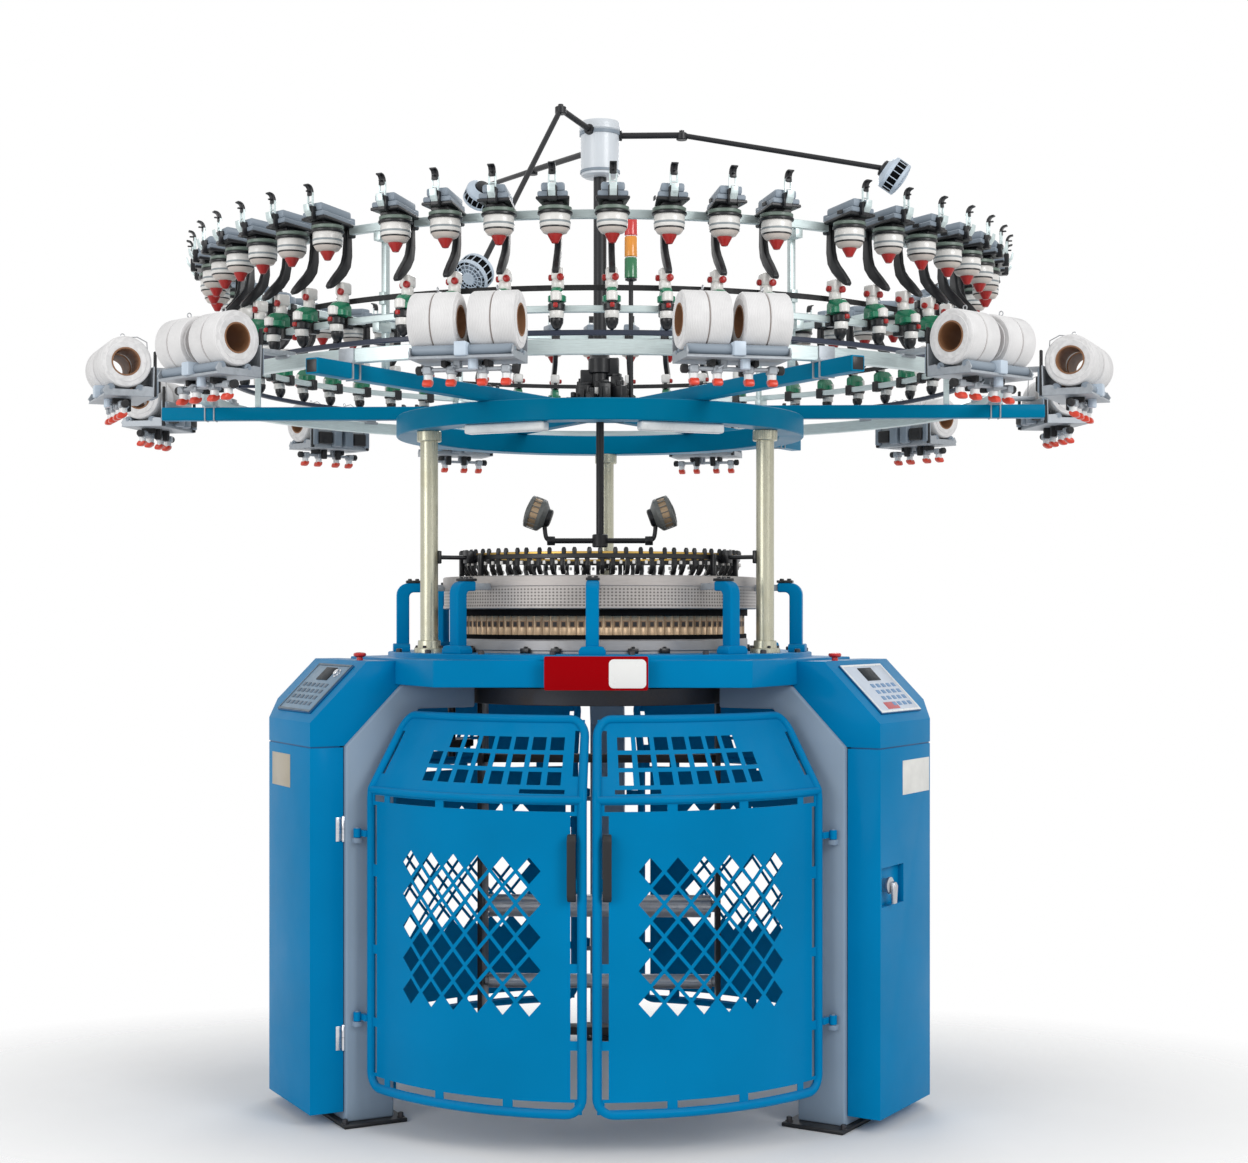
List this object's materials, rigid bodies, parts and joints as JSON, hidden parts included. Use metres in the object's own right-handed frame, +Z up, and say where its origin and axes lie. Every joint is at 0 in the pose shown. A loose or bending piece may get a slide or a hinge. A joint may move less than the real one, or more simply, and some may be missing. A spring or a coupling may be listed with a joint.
{
  "type": "circular knitting machine",
  "caption": "Free-standing circular knitting machine: blue three-leg frame with perforated gates, needle cylinder under a star frame with yarn feeders, elastane rolls and dust fans.",
  "frame": {"origin": "on the floor under the axis of the needle cylinder", "axes": "+Z up along the cylinder axis, -Y to the front with the double gate, +X to the operator's right"},
  "size_m": [3.0472, 3.0295, 2.966],
  "materials": {
    "blue_paint": "semi-gloss powder coat",
    "leg_paint": "semi-gloss paint",
    "black_steel": "satin black",
    "panel_grey": "matte film",
    "red_plastic": "gloss",
    "latch_metal": "polished",
    "plate_red": "gloss enamel",
    "cam_steel": "brushed",
    "cam_tan": "brushed, oiled",
    "sinker_steel": "satin, perforated",
    "needle_steel": "ground",
    "gear_iron": "oiled",
    "zinc": "zinc plated",
    "star_paint": "semi-gloss powder coat",
    "lamp_white": "opal",
    "rail_alu": "satin anodised",
    "belt_rubber": "matte",
    "feeder_green": "gloss",
    "feeder_white": "gloss",
    "housing_grey": "hammered grey",
    "guide_black": "gloss",
    "cradle_grey": "cast, satin",
    "roll_white": "wound yarn",
    "sensor_orange": "gloss",
    "tower_plastic": "translucent",
    "bucket_white": "gloss",
    "fan_grey": "matte",
    "motor_paint": "semi-gloss"
  },
  "bodies": {
    "frame": {"foot_plates": "black_steel", "legs": "leg_paint", "bed": "blue_paint", "nameplate": "plate_red", "cabinet_left_frame": "blue_paint", "cabinet_right_frame": "blue_paint", "head_left": "blue_paint", "head_right": "blue_paint", "panel_left": "panel_grey", "panel_right": "panel_grey", "lower_cam_ring": "cam_steel", "cam_box_ring": "cam_tan", "sinker_ring": "sinker_steel", "cam_ring_posts": "blue_paint", "motor": "motor_paint", "drive_belt": "belt_rubber", "yarn_guide_ring": "guide_black", "columns": "zinc", "top_ring": "star_paint", "star_arms": "star_paint", "lamp_tubes": "lamp_white", "creel_rings": "rail_alu", "ring_stanchions": "rail_alu", "feed_belt": "belt_rubber", "positive_feeder_bodies": "feeder_green", "positive_feeder_wheels": "feeder_white", "storage_feeder_housings": "housing_grey", "storage_feeder_drums": "feeder_white", "storage_feeder_guides": "guide_black", "roll_cradles": "cradle_grey", "elastane_rolls": "roll_white", "yarn_sensors": "sensor_orange", "centre_post": "black_steel", "signal_tower": "tower_plastic"},
    "cylinder": {"needle_cylinder": "needle_steel", "gear_ring": "gear_iron", "takedown_frame": "black_steel"},
    "takedown_roll": {"takedown_roller": "needle_steel"},
    "cloth_roll": {"cloth_shaft": "needle_steel"},
    "drive_shaft": {"main_shaft": "gear_iron"},
    "motor_rotor": {"motor_pulley": "gear_iron"},
    "front_gate_left": {"gate_left": "blue_paint", "gate_handle_left": "black_steel"},
    "front_gate_right": {"gate_right": "blue_paint", "gate_handle_right": "black_steel"},
    "rear_gate_left": {"gate_rear_left": "blue_paint"},
    "rear_gate_right": {"gate_rear_right": "blue_paint"},
    "door_left": {"cabinet_left_door": "blue_paint"},
    "door_right": {"cabinet_right_door": "blue_paint"},
    "latch": {"door_latch": "latch_metal"},
    "button_left": {"stop_button_left": "red_plastic"},
    "button_right": {"stop_button_right": "red_plastic"},
    "top_fan": {"top_fan_bucket": "bucket_white", "top_fan_arms": "black_steel"},
    "fan_rotor_1": {"top_fan_rotor_1": "fan_grey"},
    "fan_rotor_2": {"top_fan_rotor_2": "fan_grey"},
    "fan_rotor_3": {"top_fan_rotor_3": "fan_grey"},
    "lower_fan": {"lower_fan_arm": "black_steel"},
    "lower_rotor_left": {"lower_fan_rotor_left": "fan_grey"},
    "lower_rotor_right": {"lower_fan_rotor_right": "fan_grey"}
  },
  "joints": [
    {"name": "cylinder_turn", "type": "hinge", "parent": "frame", "child": "cylinder", "pos_m": [0, 0, 1.215], "axis": [0, 0, 1], "continuous": true},
    {"name": "takedown_turn", "type": "hinge", "parent": "cylinder", "child": "takedown_roll", "pos_m": [0, 0, 0.56], "axis": [1, 0, 0], "continuous": true},
    {"name": "cloth_turn", "type": "hinge", "parent": "cylinder", "child": "cloth_roll", "pos_m": [0, 0, 0.33], "axis": [1, 0, 0], "continuous": true},
    {"name": "shaft_turn", "type": "hinge", "parent": "frame", "child": "drive_shaft", "pos_m": [-0.4555, 0, 1.15], "axis": [0, 0, 1], "continuous": true},
    {"name": "motor_turn", "type": "hinge", "parent": "frame", "child": "motor_rotor", "pos_m": [-0.80782, -0.20081, 1.05], "axis": [0, 0, 1], "continuous": true},
    {"name": "gate_left_swing", "type": "hinge", "parent": "frame", "child": "front_gate_left", "pos_m": [-0.67141, -0.47309, 0.6], "axis": [0, 0, 1], "range_deg": [-100, 0]},
    {"name": "gate_right_swing", "type": "hinge", "parent": "frame", "child": "front_gate_right", "pos_m": [0.67141, -0.47309, 0.6], "axis": [0, 0, 1], "range_deg": [0, 100]},
    {"name": "gate_rear_left_swing", "type": "hinge", "parent": "frame", "child": "rear_gate_left", "pos_m": [-0.074, 0.818, 0.6], "axis": [0, 0, 1], "range_deg": [-100, 0]},
    {"name": "gate_rear_right_swing", "type": "hinge", "parent": "frame", "child": "rear_gate_right", "pos_m": [0.074, 0.818, 0.6], "axis": [0, 0, 1], "range_deg": [0, 100]},
    {"name": "door_left_swing", "type": "hinge", "parent": "frame", "child": "door_left", "pos_m": [-0.71226, -0.46434, 0.55], "axis": [0, 0, 1], "range_deg": [0, 95]},
    {"name": "door_right_swing", "type": "hinge", "parent": "frame", "child": "door_right", "pos_m": [0.97096, -0.11025, 0.55], "axis": [0, 0, 1], "range_deg": [0, 95]},
    {"name": "latch_turn", "type": "hinge", "parent": "door_right", "child": "latch", "pos_m": [0.82799, -0.46188, 0.69], "axis": [0.866, -0.5, 0], "range_deg": [0, 90]},
    {"name": "stop_left_press", "type": "slide", "parent": "frame", "child": "button_left", "axis": [0, 0, -1], "range_m": [0, 0.004], "stiffness_N_per_m": 600},
    {"name": "stop_right_press", "type": "slide", "parent": "frame", "child": "button_right", "axis": [0, 0, -1], "range_m": [0, 0.004], "stiffness_N_per_m": 600},
    {"name": "top_fan_turn", "type": "hinge", "parent": "frame", "child": "top_fan", "pos_m": [0, 0, 2.8], "axis": [0, 0, 1], "continuous": true},
    {"name": "lower_fan_turn", "type": "hinge", "parent": "frame", "child": "lower_fan", "pos_m": [0, 0, 1.677], "axis": [0, 0, 1], "continuous": true},
    {"name": "fan_rotor_1_spin", "type": "hinge", "parent": "top_fan", "child": "fan_rotor_1", "pos_m": [0.857, 0, 2.815], "axis": [0.8192, 0, -0.5736], "continuous": true},
    {"name": "fan_rotor_2_spin", "type": "hinge", "parent": "top_fan", "child": "fan_rotor_2", "pos_m": [-0.31, -0.53694, 2.425], "axis": [-0.4096, -0.7094, -0.5736], "continuous": true},
    {"name": "fan_rotor_3_spin", "type": "hinge", "parent": "top_fan", "child": "fan_rotor_3", "pos_m": [-0.425, 0.73612, 2.93], "axis": [-0.4096, 0.7094, -0.5736], "continuous": true},
    {"name": "lower_rotor_left_spin", "type": "hinge", "parent": "lower_fan", "child": "lower_rotor_left", "pos_m": [-0.172, 0, 1.752], "axis": [-0.9397, 0, 0.342], "continuous": true},
    {"name": "lower_rotor_right_spin", "type": "hinge", "parent": "lower_fan", "child": "lower_rotor_right", "pos_m": [0.172, 0, 1.752], "axis": [0.9397, 0, 0.342], "continuous": true}
  ],
  "couplings": [
    {"joint": "takedown_turn", "follows": "cylinder_turn", "ratio": 0.5},
    {"joint": "cloth_turn", "follows": "cylinder_turn", "ratio": 0.75},
    {"joint": "shaft_turn", "follows": "cylinder_turn", "ratio": -14.167},
    {"joint": "motor_turn", "follows": "cylinder_turn", "ratio": -18.889}
  ]
}
